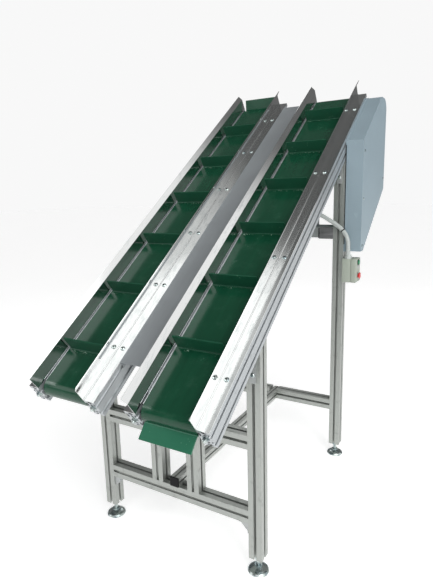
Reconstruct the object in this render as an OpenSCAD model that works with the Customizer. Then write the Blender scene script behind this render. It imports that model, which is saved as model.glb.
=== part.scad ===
// Inclined twin-lane cleated belt conveyor on an aluminium slot-profile stand.
// Millimetres. +X is the machine's right side, +Y runs from the loading end to the
// discharge end, +Z is up. The origin is on the floor, under the middle of the machine.

/* [Incline and lanes] */
// Slope of both lanes, degrees
incline = 35; // [28:0.5:40]
// Length of the side rails
rail_len = 1500; // [1400:5:1850]
// Height of the rails' top face above the floor at the loading end
tail_height = 549; // [500:1:700]
// Clear width between the two rails of one lane
lane_w = 166; // [140:1:220]
// Clear width between the two lanes
lane_gap = 96; // [60:1:140]

/* [Rails and guides] */
// Width of a rail's section
rail_w = 35; // [30:1:40]
// Height of a rail's section
rail_h = 60; // [58:1:75]
// Sheet thickness of the side guides
guide_t = 2; // [1.5:0.1:3]
// Height of a guide's upright wall
guide_h = 42; // [35:1:70]
// Sideways reach of a guide's flared lip
flare_out = 12; // [6:1:18]
// Rise of a guide's flared lip
flare_up = 16; // [10:1:24]
// Thickness of the sheet between the lanes
pan_t = 1.5; // [1:0.1:3]
// Depth of the pan's side flanges
pan_flange = 22; // [12:1:30]

/* [Belt] */
// Belt thickness
belt_t = 2.5; // [1.5:0.1:3.5]
// Free space between a belt's edge and the rail beside it
belt_side_gap = 6; // [5:0.5:9]
// Height of a cleat above the belt
cleat_h = 42; // [25:1:50]
// Thickness of a cleat
cleat_t = 4; // [3:0.5:6]
// Distance from one cleat to the next
cleat_pitch = 225; // [180:1:260]
// Distance from the rails' end to the first cleat on top, right lane
first_cleat_right = 204.6; // [150:0.1:230]
// Distance from the rails' end to the first cleat on top, left lane
first_cleat_left = 142; // [80:0.1:230]
// Thickness of the slider bed's sheet
bed_t = 3; // [2:0.5:4]

/* [Rollers and drive] */
// Diameter of the tail rollers
tail_roller_d = 50; // [38:1:52]
// Diameter of the head drums
head_drum_d = 76; // [60:1:76]
// Diameter of the drive shaft and the gearbox's output shaft
shaft_d = 20; // [15:1:22]
// Diameter of the fixed tail shafts
tail_shaft_d = 15; // [10:1:17]
// Tail shaft's distance from the rails' loading end
tail_shaft_s = 30; // [28:0.5:45]
// Drive shaft's distance from the rails' discharge end
head_shaft_in = 30; // [28:0.5:60]
// Travel of the belt tensioners
take_up = 10; // [4:1:12]
// Teeth on each chain sprocket
sprocket_teeth = 11; // [9:1:12]
// Diameter of the motor
motor_d = 70; // [60:1:80]
// Length of the motor's finned body
motor_len = 120; // [100:1:160]

/* [Stand] */
// Width of the square stand profile
profile = 40; // [35:1:45]
// Width of the square centre bar
bar_w = 30; // [25:1:35]
// Front legs' centre, measured from the loading end
front_leg_y = 271; // [200:1:330]
// Rear legs' centre, measured from the loading end
rear_leg_y = 985; // [900:1:1020]
// Height of a leg's lower end above the floor
leg_clear = 46; // [40:1:60]
// Height of the lower crossbar's top face
low_bar_top = 192; // [170:1:240]
// Height of the left upper crossbar's top face
upper_left_top = 385; // [340:1:420]
// Height of the right upper crossbar's top face
upper_right_top = 415; // [340:1:430]
// Diameter of a foot's pad
foot_d = 60; // [50:1:70]
// Diameter of a foot's stud
stud_d = 12; // [10:1:14]

/* [Guard and button box] */
// Depth of the chain guard
guard_depth = 62; // [55:1:75]
// Sheet thickness of the chain guard
guard_t = 1.5; // [1:0.1:2]
// Width of the button box, along the machine
box_w = 58; // [50:1:70]
// Depth of the button box, away from the leg
box_d = 52; // [45:1:60]
// Height of the button box
box_h = 88; // [80:1:110]
// Height of the button box's lower face above the floor
box_z = 711; // [600:1:720]
// Outer diameter of the motor cable's conduit
conduit_d = 16; // [12:1:18]

/* [Hidden] */

// Fits
run_fit = 0.05;      // radial clearance of a shaft that turns in a bore
belt_fit = 0.3;      // free space between the belt's inner face and what it runs over
slide_fit = 0.2;     // clearance each side of a sliding block
eps = 0.01;          // overlap that keeps cuts clean

// Lane positions across the machine
inner_rail_x = lane_gap/2;                       // inner rail's face towards the middle
lane_x0 = inner_rail_x + rail_w;                 // lane's clear width starts
lane_x1 = lane_x0 + lane_w;                      // lane's clear width ends
outer_x = lane_x1 + rail_w;                      // outer face of the outer rail
lane_mid = (lane_x0 + lane_x1)/2;
belt_w = lane_w - 2*belt_side_gap;
leg_x = outer_x - profile/2;                     // legs stand flush with the outer rails
post_x = inner_rail_x + rail_w/2 - 1.5;          // posts stand under the inner rails

// Heights of the belt's path, measured square to the rails' top face
tail_r = tail_roller_d/2;
head_r = head_drum_d/2;
tail_n = -(tail_r + belt_fit + belt_t);
head_n = -(head_r + belt_fit + belt_t);
head_s = rail_len - head_shaft_in;

// A point of the lane plane in machine coordinates: s along, n square to the belt
function lane_y(s, n) = s*cos(incline) - n*sin(incline);
function lane_z(s, n) = tail_height + s*sin(incline) + n*cos(incline);
head_y = lane_y(head_s, head_n);
head_z = lane_z(head_s, head_n);
function rail_under_z(y) = tail_height + y*tan(incline) - rail_h/cos(incline);

// Gearmotor below the rails, beside the right rear leg
rear_face_y = rear_leg_y + profile/2;
front_face_y = rear_leg_y - profile/2;
gear_w = 70;                                     // gearbox, across its output shaft
gear_len = 70;                                   // gearbox, along its output shaft
plate_t = 6;                                     // plate that carries the gearbox
motor_y = rear_face_y + plate_t + gear_w/2;
arm_z = 888;                                     // centre of the arm that carries the motor
motor_z = arm_z - profile/2 + gear_w/2 + 2;
arm_len = 52;
arm_x0 = leg_x - profile/2 - arm_len;            // the arm's free end
gear_setback = 40;                               // gearbox face from the arm's free end
gear_x1 = arm_x0 - gear_setback;
gear_x0 = gear_x1 - gear_len;
motor_x0 = gear_x0 - motor_len;
fan_len = 38;
fan_r = motor_d/2 + 2;
fan_wall = fan_r - motor_d/2 - run_fit;          // the cover sits over the ends of the motor's fins

// Chain drive
chain_pitch = 12.7;
sprocket_tip = chain_pitch/2/sin(180/sprocket_teeth) - 0.5;
chain_in = sprocket_tip + belt_fit;
chain_t = 6;
chain_w = 8;
chain_x = outer_x + 24;                          // middle plane of the chain

// Guard outline, in the machine's Y and Z
guard_x0 = outer_x;                              // back plate lies on rail and leg
guard_x1 = outer_x + guard_depth;
guard_y0 = front_face_y;
guard_y1 = max(head_y + 78, motor_y + 60);
guard_z0 = motor_z - 82;
guard_drop = 8;                                  // guard's top edge below the rails' top
guard_corner = 45;
guard_foot = 35;
guard_r = -head_n - guard_drop*cos(incline);     // guard's top edge from the drive shaft
guard_rear_z0 = guard_z0 + (guard_y1 - guard_y0 - guard_foot)*0.73;
rim_w = 10;

// Button box on the right rear leg
box_x0 = outer_x;
box_y0 = rear_leg_y - box_w/2 - 6;
box_split = 32;                                  // depth of the box's base
button_x = box_x0 + box_d;
start_z = box_z + 73;
stop_z = box_z + 24;
button_y = box_y0 + box_w/2;
mushroom_r = 12;
mushroom_reach = 10;
button_bore_r = 8;

// Envelope, for the origin
x_low = -(leg_x + foot_d/2);
x_high = button_x + mushroom_reach;
y_low = lane_y(0, guide_h + flare_up);
y_high = guard_y1;
origin_x = (x_low + x_high)/2;
origin_y = (y_low + y_high)/2;
head_m = [head_y, head_z];

// ---------- helpers ----------

module at_origin() { translate([-origin_x, -origin_y, 0]) children(); }

// Lane coordinates: X across, Y along the belt, Z square to it, 0 at the rails' top face
module on_lane() { at_origin() translate([0, 0, tail_height]) rotate([incline, 0, 0]) children(); }

// Extrudes a drawing of X and Z along Y
module along_y(y0, y1) { translate([0, y1, 0]) rotate([90, 0, 0]) linear_extrude(y1 - y0) children(); }

// Extrudes a drawing of Y and Z along X
module along_x(x0, x1) { translate([x0, 0, 0]) rotate([90, 0, 90]) linear_extrude(x1 - x0) children(); }

module rod_x(x0, x1, y, z, r, fn = 48) { along_x(x0, x1) translate([y, z]) circle(r, $fn = fn); }

module mirrored(side) { if (side < 0) mirror([1, 0, 0]) children(); else children(); }

// One T-slot, opening upwards at Y = 0
module t_slot(open_w, lip, wide, deep) {
    translate([-open_w/2, -lip - eps]) square([open_w, lip + 1]);
    polygon([[-wide/2, -lip], [wide/2, -lip], [wide/2, -lip - (deep - lip)*0.4],
             [open_w/2, -deep], [-open_w/2, -deep], [-wide/2, -lip - (deep - lip)*0.4]]);
}

// Square profile with a slot in each face and a core hole
module square_profile(w) {
    difference() {
        translate([-w/2, -w/2]) square(w);
        for (a = [0:90:270]) rotate(a) translate([0, w/2]) t_slot(w*0.2, w*0.09, w*0.46, w*0.28);
        circle(w*0.085, $fn = 24);
    }
}

// Rail profile: X from 0 to the rail's width, Y from minus the rail's height to 0
module rail_profile() {
    slot_w = 8;
    slot_deep = rail_w*0.25;
    difference() {
        translate([0, -rail_h]) square([rail_w, rail_h]);
        translate([rail_w/2, 0]) t_slot(slot_w, 2.4, 14.5, slot_deep);
        translate([rail_w/2, -rail_h]) rotate(180) t_slot(slot_w, 2.4, 14.5, slot_deep);
        for (y = [-rail_h/4, -rail_h*3/4]) {
            translate([0, y]) rotate(90) t_slot(slot_w, 2.4, 14.5, slot_deep);
            translate([rail_w, y]) rotate(-90) t_slot(slot_w, 2.4, 14.5, slot_deep);
            translate([rail_w/2, y]) circle(3.4, $fn = 24);
        }
    }
}

// Everything above the rails' underside
module above_rails() {
    translate([0, 0, tail_height]) rotate([incline, 0, 0])
        translate([-outer_x - 100, -rail_len, -rail_h]) cube([2*outer_x + 200, 3*rail_len, rail_len]);
}

// ---------- stand ----------

module upright(x, y, z0) {
    difference() {
        translate([x, y, z0]) linear_extrude(rail_under_z(y + profile) - z0) square_profile(profile);
        above_rails();
    }
}

module leg(sx, y) {
    color("#c9ccc4") at_origin() difference() {
        upright(sx*leg_x, y, leg_clear);
        translate([sx*leg_x, y, leg_clear - 1]) cylinder(r = stud_d/2 + 1.2, h = 61, $fn = 32);
    }
}
module leg_front_left() { leg(-1, front_leg_y); }
module leg_front_right() { leg(1, front_leg_y); }
module leg_rear_left() { leg(-1, rear_leg_y); }
module leg_rear_right() { leg(1, rear_leg_y); }

module front_posts() {
    color("#c9ccc4") at_origin() for (sx = [-1, 1]) upright(sx*post_x, front_leg_y, low_bar_top);
}

// Profile lying across the machine
module cross_profile(x0, x1, y, top) {
    along_x(x0, x1) translate([y, top - profile/2]) square_profile(profile);
}
inner_leg_x = leg_x - profile/2;
module crossbar_front_lower() {
    color("#c4c8c2") at_origin() cross_profile(-inner_leg_x, inner_leg_x, front_leg_y, low_bar_top);
}
module upper_crossbars() {
    color("#c4c8c2") at_origin() {
        cross_profile(-inner_leg_x, -post_x - profile/2, front_leg_y, upper_left_top);
        cross_profile(post_x + profile/2, inner_leg_x, front_leg_y, upper_right_top);
    }
}
rear_bar_top = low_bar_top + profile;
module rear_crossbars() {
    color("#c4c8c2") at_origin() {
        cross_profile(-inner_leg_x, -bar_w/2, rear_leg_y, rear_bar_top);
        cross_profile(bar_w/2, inner_leg_x, rear_leg_y, rear_bar_top);
    }
}
bar_y0 = front_leg_y - profile/2;
bar_y1 = rear_face_y + 12;
bar_z = low_bar_top + bar_w/2;
module centre_bar() {
    color("#c4c8c2") at_origin() along_y(bar_y0, bar_y1) translate([0, bar_z]) square_profile(bar_w);
}

// Square cap over a profile's end, with a plug in the core hole
module end_cap(w, t) {
    translate([-w/2 + 0.5, -w/2 + 0.5, 0]) cube([w - 1, w - 1, t]);
    translate([0, 0, -8]) cylinder(r = w*0.085 - run_fit, h = 8 + eps, $fn = 24);
}
cap_t = 4;
module bar_end_caps() {
    color("#1b1c1d") at_origin() {
        translate([0, bar_y0, bar_z]) rotate([90, 0, 0]) end_cap(bar_w, cap_t);
        translate([0, bar_y1, bar_z]) rotate([-90, 0, 0]) end_cap(bar_w, cap_t);
        translate([arm_x0, rear_leg_y, arm_z]) rotate([0, -90, 0]) end_cap(profile, cap_t);
    }
}

// Cast corner bracket in the corner of the +Y and +Z directions, centred on X
br = 32;
br_t = 5;
module corner_bracket() {
    translate([-br/2, 0, 0]) cube([br, br, br_t]);
    translate([-br/2, 0, 0]) cube([br, br_t, br]);
    for (x = [-br/2, br/2 - 3]) along_x(x, x + 3) polygon([[0, 0], [br - 2, 0], [0, br - 2]]);
}
// Places of the corner brackets: position, turn about Z, and 1 when it hangs upside down
bracket_places = concat(
    [for (sx = [-1, 1]) [[sx*inner_leg_x, front_leg_y, low_bar_top - profile], sx*90, 1]],
    [[[0, front_leg_y + profile/2, bar_z - bar_w/2], 0, 1]]
);
module place_bracket(p) {
    translate(p[0]) rotate([0, 0, p[1]]) mirror([0, 0, p[2]]) children();
}
// Angle bracket between a leg's face and the rail's underside; side is -1 in front, 1 behind
rail_br_w = 18;
rail_br_down = 84;
rail_br_along = 60;
rail_br_t = 4;
module rail_bracket(x, y, side) {
    fy = y + side*profile/2;
    z = rail_under_z(fy);
    reach = side < 0 ? rail_br_down : 55;
    along_x(x - rail_br_w/2, x + rail_br_w/2) {
        translate([side < 0 ? fy - rail_br_t : fy, z - reach])
            square([rail_br_t, reach - (side < 0 ? rail_br_t*tan(incline) + rail_br_t/cos(incline) : 0)]);
        translate([fy, z]) rotate(incline) translate([side < 0 ? -rail_br_along : 0, -rail_br_t])
            square([rail_br_along - (side < 0 ? rail_br_t*tan(incline) : 0), rail_br_t]);
        if (side < 0) polygon([[fy, z - rail_br_t/cos(incline)], [fy, z - 15], [fy - rail_br_t, z - 15],
                               [fy - rail_br_t, z - rail_br_t*tan(incline) - 1]]);
    }
}
module rail_bracket_places() {
    for (sx = [-1, 1], side = [-1, 1]) {
        rail_bracket(sx*leg_x, front_leg_y, side);
        rail_bracket(sx*leg_x, rear_leg_y, side);
        rail_bracket(sx*post_x, front_leg_y, side);
    }
}
module frame_brackets() {
    color("#b4b8b6") at_origin() {
        for (p = bracket_places) place_bracket(p) corner_bracket();
        rail_bracket_places();
    }
}

// Button-head screw, head above Z = 0
module button_screw(head_r, head_h, shank_r, shank) {
    rotate_extrude($fn = 32) polygon([[0, 0], [head_r, 0], [head_r, head_h*0.35],
        [head_r*0.75, head_h*0.85], [head_r*0.45, head_h], [head_r*0.35, head_h],
        [head_r*0.35, head_h*0.4], [0, head_h*0.4]]);
    if (shank > 0) translate([0, 0, -shank]) cylinder(r = shank_r, h = shank + eps, $fn = 24);
}
guard_screw_places = [
    [guard_y0 + 20, guard_z0 + 22], [guard_y0 + 20, guard_z0 + 190],
    [guard_y0 + 20, lane_z(0, 0) + (guard_y0 + 20)*tan(incline) - 60],
    [guard_y1 - 20, guard_rear_z0 + 40],
];
module frame_bolts() {
    color("#a9adb0") at_origin() {
        for (p = bracket_places) place_bracket(p) {
            translate([0, br*0.6, br_t]) button_screw(6.5, 4, 3.5, 0);
            translate([0, br_t, br*0.6]) rotate([-90, 0, 0]) button_screw(6.5, 4, 3.5, 0);
        }
        for (sx = [-1, 1], y = [front_leg_y, rear_leg_y])
            translate([sx*leg_x, y - profile/2 - rail_br_t, rail_under_z(y - profile/2) - 62])
                rotate([90, 0, 0]) button_screw(6.5, 4, 3.5, 0);
        for (p = guard_screw_places) translate([guard_x1, p[0], p[1]])
            rotate([0, 90, 0]) button_screw(5, 3, 2.5, 0);
        for (x = [12, 38]) translate([arm_x0 + x, rear_face_y + plate_t, arm_z])
            rotate([-90, 0, 0]) button_screw(6.5, 4, 3.5, 0);
    }
}

module motor_arm() {
    color("#b9bcb8") at_origin()
        cross_profile(arm_x0, inner_leg_x, rear_leg_y, arm_z + profile/2);
}

nut_h = 8;
module foot_lock_nuts() {
    color("#b9c3c6") at_origin() for (sx = [-1, 1], y = [front_leg_y, rear_leg_y])
        translate([sx*leg_x, y, leg_clear - nut_h]) difference() {
            cylinder(r = stud_d*0.92, h = nut_h, $fn = 6);
            translate([0, 0, -1]) cylinder(r = stud_d/2 + run_fit, h = nut_h + 2, $fn = 32);
        }
}

// Levelling foot: bell-shaped pad with its stud
pad_h = 20;
module foot(sx, y) {
    color("#b7c2c6") at_origin() translate([sx*leg_x, y, 0]) {
        rotate_extrude($fn = 64) polygon([
            [0, 0], [foot_d/2, 0], [foot_d/2, 4], [foot_d/2 - 3, 7.5], [foot_d/2 - 9, 10.5],
            [foot_d/2 - 15, 12.5], [11, 14.5], [11, pad_h], [0, pad_h]]);
        translate([0, 0, pad_h - eps]) cylinder(r = stud_d/2, h = leg_clear + 40 - pad_h, $fn = 32);
    }
}
module foot_front_left() { foot(-1, front_leg_y); }
module foot_front_right() { foot(1, front_leg_y); }
module foot_rear_left() { foot(-1, rear_leg_y); }
module foot_rear_right() { foot(1, rear_leg_y); }

// ---------- lanes ----------

// The tensioner block rides in a pocket in the rail's lane side, at the loading end
block_w = 22;
block_h = 18;
block_len = 26;
pocket_s0 = tail_shaft_s - block_len/2 - 2;
pocket_s1 = tail_shaft_s + block_len/2 + take_up + 2;
bolt_r = 4;
bolt_off = 16;                                   // tension bolt's distance from the lane
bearing_r = 16;

// A rail whose lane side faces -X, with X = 0 on that side
module rail_body() {
    difference() {
        along_y(0, rail_len) rail_profile();
        translate([-1, pocket_s0, tail_n - block_h/2 - slide_fit])
            cube([block_w + slide_fit + 1, pocket_s1 - pocket_s0, block_h + 2*slide_fit]);
        translate([bolt_off, -1, tail_n]) rotate([-90, 0, 0])
            cylinder(r = bolt_r + 0.3, h = pocket_s0 + 2, $fn = 32);
        rod_x(-1, rail_w + 1, head_s, head_n, bearing_r);
    }
}
// Lane sides: an outer rail starts at lane_x1, an inner rail is its mirror image at lane_x0
module place_rail(side, outer) {
    on_lane() mirrored(side) {
        if (outer) translate([lane_x1, 0, 0]) children();
        else translate([lane_x0, 0, 0]) mirror([1, 0, 0]) children();
    }
}
module rail(side, outer) { color("#d3d6d8") place_rail(side, outer) rail_body(); }
module rail_left_outer() { rail(-1, true); }
module rail_left_inner() { rail(-1, false); }
module rail_right_inner() { rail(1, false); }
module rail_right_outer() { rail(1, true); }

tie_len = 40;
tie_n0 = tail_n - 16;
tie_t = 12;
tie_s = [for (f = [0.14, 0.5, 0.86]) f*rail_len];
module cross_ties() {
    color("#b4b8b6") on_lane() for (s = tie_s) {
        for (side = [-1, 1]) mirrored(side)
            translate([lane_x0, s - tie_len/2, tie_n0]) cube([lane_w, tie_len, tie_t]);
        translate([-inner_rail_x, s - tie_len/2, tie_n0]) cube([2*inner_rail_x, tie_len, tie_t]);
    }
}

bed_top = -belt_t - belt_fit;
bed_s0 = tail_shaft_s + take_up + tail_r*0.9;
bed_s1 = head_s - head_r*0.8;
bed_flange = 22;
module slider_bed(side) {
    color("#aeb2b5") on_lane() mirrored(side) along_y(bed_s0, bed_s1) {
        translate([lane_x0, bed_top - bed_t]) square([lane_w, bed_t]);
        for (x = [lane_x0, lane_x1 - bed_t]) translate([x, bed_top - bed_flange]) square([bed_t, bed_flange]);
    }
}
module slider_bed_left() { slider_bed(-1); }
module slider_bed_right() { slider_bed(1); }

pan_s0 = 125;
pan_s1 = rail_len - 36;
module divider_pan() {
    color("#9fa8b4") on_lane() along_y(pan_s0, pan_s1) {
        translate([-inner_rail_x, -pan_t]) square([lane_gap, pan_t]);
        for (x = [-inner_rail_x, inner_rail_x - pan_t])
            translate([x, -pan_flange]) square([pan_t, pan_flange]);
    }
}

// Guide: flange on the rail's top, upright at the lane's edge, lip flared over the rail
guide_top_n = guide_h + flare_up;
lip_len = sqrt(flare_out*flare_out + flare_up*flare_up);
lip_nx = guide_t*flare_up/lip_len;
lip_ny = guide_t*flare_out/lip_len;
lip_bend = guide_t*(lip_len - flare_up)/flare_out;
function screw_row(first, last, count) =
    [for (i = [0:count - 1]) first + i*(last - first)/(count - 1)];
row_of_four = screw_row(135, rail_len - 122, 4);
row_of_six = screw_row(167, rail_len - 138, 6);
screw_r = 3;
module guide(side, outer, row) {
    color("#dfe3e6") place_rail(side, outer) difference() {
        along_y(0, rail_len) polygon([
            [0, 0], [rail_w, 0], [rail_w, guide_t], [guide_t, guide_t],
            [guide_t, guide_h - lip_bend], [flare_out + lip_nx, guide_top_n - lip_ny],
            [flare_out, guide_top_n], [0, guide_h]]);
        for (s = row) translate([rail_w/2, s, -1]) cylinder(r = screw_r + 0.3, h = guide_t + 2, $fn = 24);
    }
}
module guide_left_outer() { guide(-1, true, row_of_six); }
module guide_left_inner() { guide(-1, false, row_of_six); }
module guide_right_inner() { guide(1, false, row_of_six); }
module guide_right_outer() { guide(1, true, row_of_four); }

// Guide screws: four along the right lane's outer rail, six along each other rail
nut_n = -2.4;
module guide_screw() {
    translate([0, 0, guide_t]) button_screw(6.5, 3.8, screw_r, guide_t + 6);
    translate([-5, -5, nut_n - 4]) cube([10, 10, 4]);
}
module guide_screws() {
    color("#c3cdc9") {
        for (s = row_of_four) place_rail(1, true) translate([rail_w/2, s, 0]) guide_screw();
        for (s = row_of_six) {
            place_rail(1, false) translate([rail_w/2, s, 0]) guide_screw();
            place_rail(-1, false) translate([rail_w/2, s, 0]) guide_screw();
            place_rail(-1, true) translate([rail_w/2, s, 0]) guide_screw();
        }
    }
}

// Outline round two circles of radius r1 and r2 at c1 and c2. m is the unit normal of
// the straight stretch on the left-hand side, going from c1 to c2.
arc_steps = 32;
function across(m, d) = 2*(m*d)/(d*d)*d - m;
function on_circle(c, r, a) = c + r*[cos(a), sin(a)];
function loop_outline(c1, r1, c2, r2, m) =
    let (w = across(m, c2 - c1), start = atan2(m[1], m[0]),
         turn = (atan2(w[1], w[0]) - start + 720) % 360)
    concat([for (i = [0:arc_steps]) on_circle(c1, r1, start + turn*i/arc_steps)],
           [for (i = [0:arc_steps]) on_circle(c2, r2, start + turn + (360 - turn)*i/arc_steps)]);
module loop_band(c1, r1, c2, r2, m, t) {
    difference() {
        polygon(loop_outline(c1, r1 + t, c2, r2 + t, m));
        polygon(loop_outline(c1, r1, c2, r2, m));
    }
}
tail_c = [tail_shaft_s, tail_n];
head_c = [head_s, head_n];
module belt(side) {
    color("#1d6b45") on_lane() mirrored(side)
        along_x(lane_mid - belt_w/2, lane_mid + belt_w/2)
            loop_band(tail_c, tail_r + belt_fit, head_c, head_r + belt_fit, [0, 1], belt_t);
}
module belt_left() { belt(-1); }
module belt_right() { belt(1); }

// Cleats, counted from the first one on top: s grows towards the head. A place on the
// belt is its distance from the tail roller's top, negative round the tail roller.
belt_r1 = tail_r + belt_fit + belt_t;
belt_r2 = head_r + belt_fit + belt_t;
top_run = head_s - tail_shaft_s;
back_turn = 2*atan((belt_r2 - belt_r1)/top_run);         // slope of the return run
tail_arc = belt_r1*(180 - back_turn)*PI/180;
head_arc = belt_r2*(180 + back_turn)*PI/180;
belt_len = 2*top_run + tail_arc + head_arc;
cleat_count = floor(belt_len/cleat_pitch) + (belt_len % cleat_pitch > 0.6*cleat_pitch ? 1 : 0);

// Position, direction and foot of the belt at distance q from the tail roller's top
function wrap(q) = q < 0 ? q + belt_len : (q >= belt_len ? q - belt_len : q);
function cleat_place(q) =
    q <= top_run ? [tail_shaft_s + q, 0, 0]
    : q <= top_run + head_arc
        ? let (a = (q - top_run)/belt_r2*180/PI)
          [head_s + belt_r2*sin(a), head_n + belt_r2*cos(a), a]
    : q <= top_run + head_arc + top_run
        ? let (a = 180 + back_turn, d = q - top_run - head_arc)
          [head_s + belt_r2*sin(a) - d*cos(back_turn),
           head_n + belt_r2*cos(a) + d*sin(back_turn), a]
    : let (a = 180 + back_turn + (q - top_run - head_arc - top_run)/belt_r1*180/PI)
      [tail_shaft_s + belt_r1*sin(a), tail_n + belt_r1*cos(a), a];
weld = 2;
cleat_w = belt_w - 8;
module cleat_shape() {
    polygon([[-cleat_t/2 - weld, 0], [cleat_t/2 + weld, 0], [cleat_t/2, weld], [cleat_t/2, cleat_h],
             [-cleat_t/2, cleat_h], [-cleat_t/2, weld]]);
}
module cleats(side, first) {
    start = first - tail_shaft_s - cleat_pitch;
    color("#24794f") on_lane() mirrored(side) for (k = [0:cleat_count - 1]) {
        p = cleat_place(wrap(start + k*cleat_pitch));
        along_x(lane_mid - cleat_w/2, lane_mid + cleat_w/2)
            translate([p[0], p[1]]) rotate(-p[2]) cleat_shape();
    }
}
module cleats_left() { cleats(-1, first_cleat_left); }
module cleats_right() { cleats(1, first_cleat_right); }

// ---------- rollers and drive ----------

module drive_shaft() {
    color("#b7babd") on_lane() rod_x(-outer_x + 4, chain_x + chain_w/2 + 8, head_s, head_n, shaft_d/2);
}
drum_wall = 4;
drum_end = 12;
drum_w = belt_w;
module drum(side, r, bore_r, s, n) {
    x0 = lane_mid - drum_w/2;
    x1 = lane_mid + drum_w/2;
    on_lane() mirrored(side) difference() {
        rod_x(x0, x1, s, n, r, 64);
        rod_x(x0 + drum_end, x1 - drum_end, s, n, r - drum_wall, 64);
        rod_x(x0 - 1, x1 + 1, s, n, bore_r);
    }
}
module head_drum_left() { color("#8f9396") drum(-1, head_r, shaft_d/2, head_s, head_n); }
module head_drum_right() { color("#8f9396") drum(1, head_r, shaft_d/2, head_s, head_n); }
module head_bearings() {
    color("#9da3a8") on_lane() for (side = [-1, 1]) mirrored(side)
        for (x = [inner_rail_x, lane_x1]) difference() {
            rod_x(x + 8, x + rail_w - 8, head_s, head_n, bearing_r);
            rod_x(x, x + rail_w, head_s, head_n, shaft_d/2 + run_fit);
        }
}

// Toothed disc whose tips stay inside the chain loop
module sprocket(s, n, bore_r) {
    root = sprocket_tip - 5;
    difference() {
        union() {
            along_x(chain_x - 3.5, chain_x + 3.5) translate([s, n]) {
                circle(root, $fn = 48);
                for (k = [0:sprocket_teeth - 1]) rotate(k*360/sprocket_teeth)
                    polygon([[root - 1, -3.6], [sprocket_tip - 0.2, -1.2],
                             [sprocket_tip - 0.2, 1.2], [root - 1, 3.6]]);
            }
            rod_x(chain_x - 12, chain_x - 3.5 + eps, s, n, root - 3);
        }
        rod_x(chain_x - 20, chain_x + 20, s, n, bore_r);
    }
}
module driven_sprocket() { color("#6f7478") on_lane() sprocket(head_s, head_n, shaft_d/2); }

module take_up_unit(side) {
    color("#8d9296") on_lane() mirrored(side) {
        rod_x(lane_x0 - 11, lane_x1 + 11, tail_shaft_s, tail_n, tail_shaft_d/2);
        for (outer = [0, 1]) translate([outer ? lane_x1 : lane_x0, 0, 0]) mirror([1 - outer, 0, 0])
            difference() {
                translate([0.5, tail_shaft_s - block_len/2, tail_n - block_h/2])
                    cube([block_w - 0.5, block_len, block_h]);
                rod_x(-1, 11, tail_shaft_s, tail_n, tail_shaft_d/2);
                translate([bolt_off, tail_shaft_s - block_len, tail_n]) rotate([-90, 0, 0])
                    cylinder(r = bolt_r + 0.1, h = 2*block_len, $fn = 32);
            }
    }
}
module take_up_left() { take_up_unit(-1); }
module take_up_right() { take_up_unit(1); }
module tail_roller(side) {
    color("#8f9396") drum(side, tail_r, tail_shaft_d/2 + run_fit, tail_shaft_s, tail_n);
}
module tail_roller_left() { tail_roller(-1); }
module tail_roller_right() { tail_roller(1); }
module tension_bolts() {
    color("#a9adb0") for (side = [-1, 1], outer = [true, false]) place_rail(side, outer)
        translate([bolt_off, 0, tail_n]) rotate([90, 0, 0]) {
            translate([0, 0, -pocket_s1 + 1]) cylinder(r = bolt_r, h = pocket_s1, $fn = 32);
            cylinder(r = 9, h = 1.6, $fn = 32);
            translate([0, 0, 1.6 - eps]) cylinder(r = 7.2, h = 5.5, $fn = 6);
            translate([0, 0, 7]) sphere(r = bolt_r, $fn = 32);
        }
}

module gearbox() {
    color("#5f6a72") at_origin() difference() {
        union() {
            translate([gear_x0, motor_y - gear_w/2, motor_z - gear_w/2]) cube([gear_len, gear_w, gear_w]);
            rod_x(gear_x0 - 6, gear_x0 + eps, motor_y, motor_z, motor_d/2 + 2);
        }
        rod_x(gear_x0 + 12, gear_x1 + 1, motor_y, motor_z, shaft_d/2 + run_fit);
    }
}
module motor_body() {
    fins = 24;
    color("#5f6a72") at_origin() {
        rod_x(motor_x0, gear_x0 - 6, motor_y, motor_z, motor_d/2 - 4);
        for (k = [0:fins - 1]) translate([motor_x0, motor_y, motor_z]) rotate([k*360/fins, 0, 0])
            translate([4, -0.8, motor_d/2 - 5]) cube([motor_len - 16, 1.6, 5]);
    }
}
module fan_cover() {
    color("#3f474d") at_origin() difference() {
        rod_x(motor_x0 - fan_len, motor_x0 + 10, motor_y, motor_z, fan_r);
        rod_x(motor_x0 - fan_len + fan_wall, motor_x0 + 11, motor_y, motor_z, fan_r - fan_wall);
        for (k = [0:7], r = [12, 23]) translate([motor_x0 - fan_len, motor_y, motor_z])
            rotate([k*45 + r, 0, 0]) translate([-1, 0, r]) rotate([0, 90, 0])
                cylinder(r = 3.2, h = 4, $fn = 24);
    }
}
term_w = 54;
term_x0 = gear_x0 - 6 - term_w;
term_h = 30;
term_z0 = motor_z + motor_d/2 - 6;
module terminal_box() {
    color("#4c555b") at_origin() difference() {
        translate([term_x0, motor_y - term_w/2, term_z0]) cube([term_w, term_w, term_h]);
        rod_x(term_x0 - 1, term_x0 + term_w + 1, motor_y, motor_z, motor_d/2 + belt_fit);
    }
}
module motor_plate() {
    color("#7a8086") at_origin()
        translate([gear_x0, rear_face_y, arm_z - profile/2]) cube([inner_leg_x - gear_x0, plate_t, profile]);
}
module output_shaft() {
    color("#b7babd") at_origin()
        rod_x(gear_x0 + 14, chain_x + chain_w/2 + 8, motor_y, motor_z, shaft_d/2);
}
motor_c = [motor_y, motor_z];
module motor_sprocket() {
    color("#6f7478") at_origin() translate([0, motor_y, motor_z]) sprocket(0, 0, shaft_d/2);
}
module drive_chain() {
    d = (head_m - motor_c)/norm(head_m - motor_c);
    m = [-d[1], d[0]];
    color("#55585b") at_origin() along_x(chain_x - chain_w/2, chain_x + chain_w/2)
        loop_band(motor_c, chain_in, head_m, chain_in, m, chain_t);
}

// ---------- guard ----------

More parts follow.
